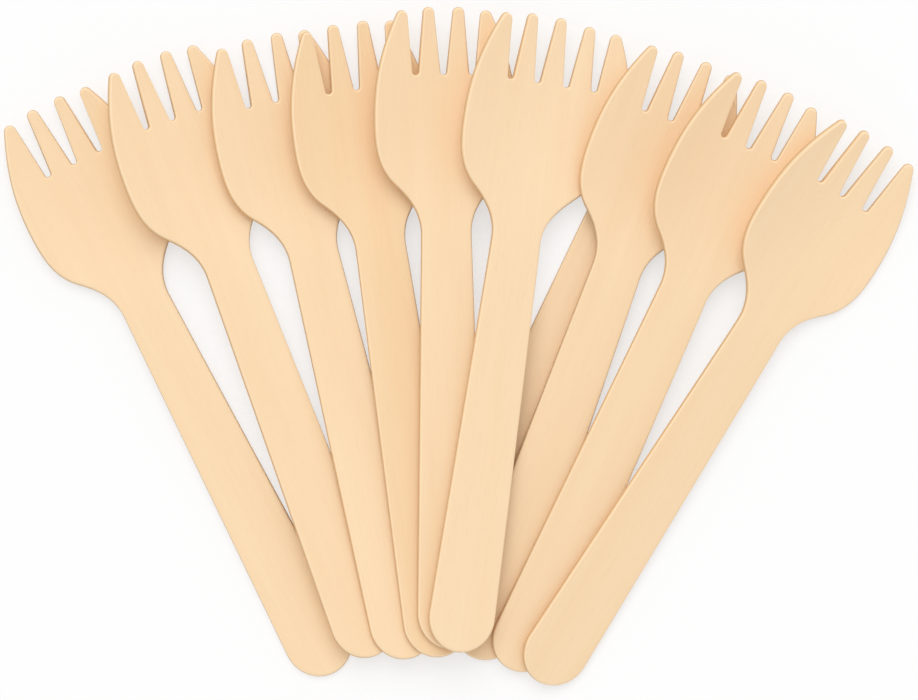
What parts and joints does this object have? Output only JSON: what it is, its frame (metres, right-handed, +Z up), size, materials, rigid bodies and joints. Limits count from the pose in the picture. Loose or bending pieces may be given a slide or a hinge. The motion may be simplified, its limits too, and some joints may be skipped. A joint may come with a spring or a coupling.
{
  "type": "wooden cutlery pack",
  "caption": "Fanned pack of nine disposable birch-veneer sporks over one flat stick, each spork with a flat tapered handle and a shallow pressed bowl slotted into tines.",
  "frame": {"origin": "middle of the pack's plan, on the ground it lies on", "axes": "+Z up, +X to the right across the fan, +Y from the handle ends towards the tines"},
  "size_m": [0.2276, 0.1698, 0.0134],
  "materials": {
    "birch_veneer": "matt, smooth and uncoated"
  },
  "bodies": {
    "root": {"spork_01": "birch_veneer", "spork_02": "birch_veneer", "spork_03": "birch_veneer", "spork_04": "birch_veneer", "spork_05": "birch_veneer", "spork_06": "birch_veneer", "spork_07": "birch_veneer", "spork_08": "birch_veneer", "spork_09": "birch_veneer", "flat_stick": "birch_veneer"}
  },
  "joints": []
}
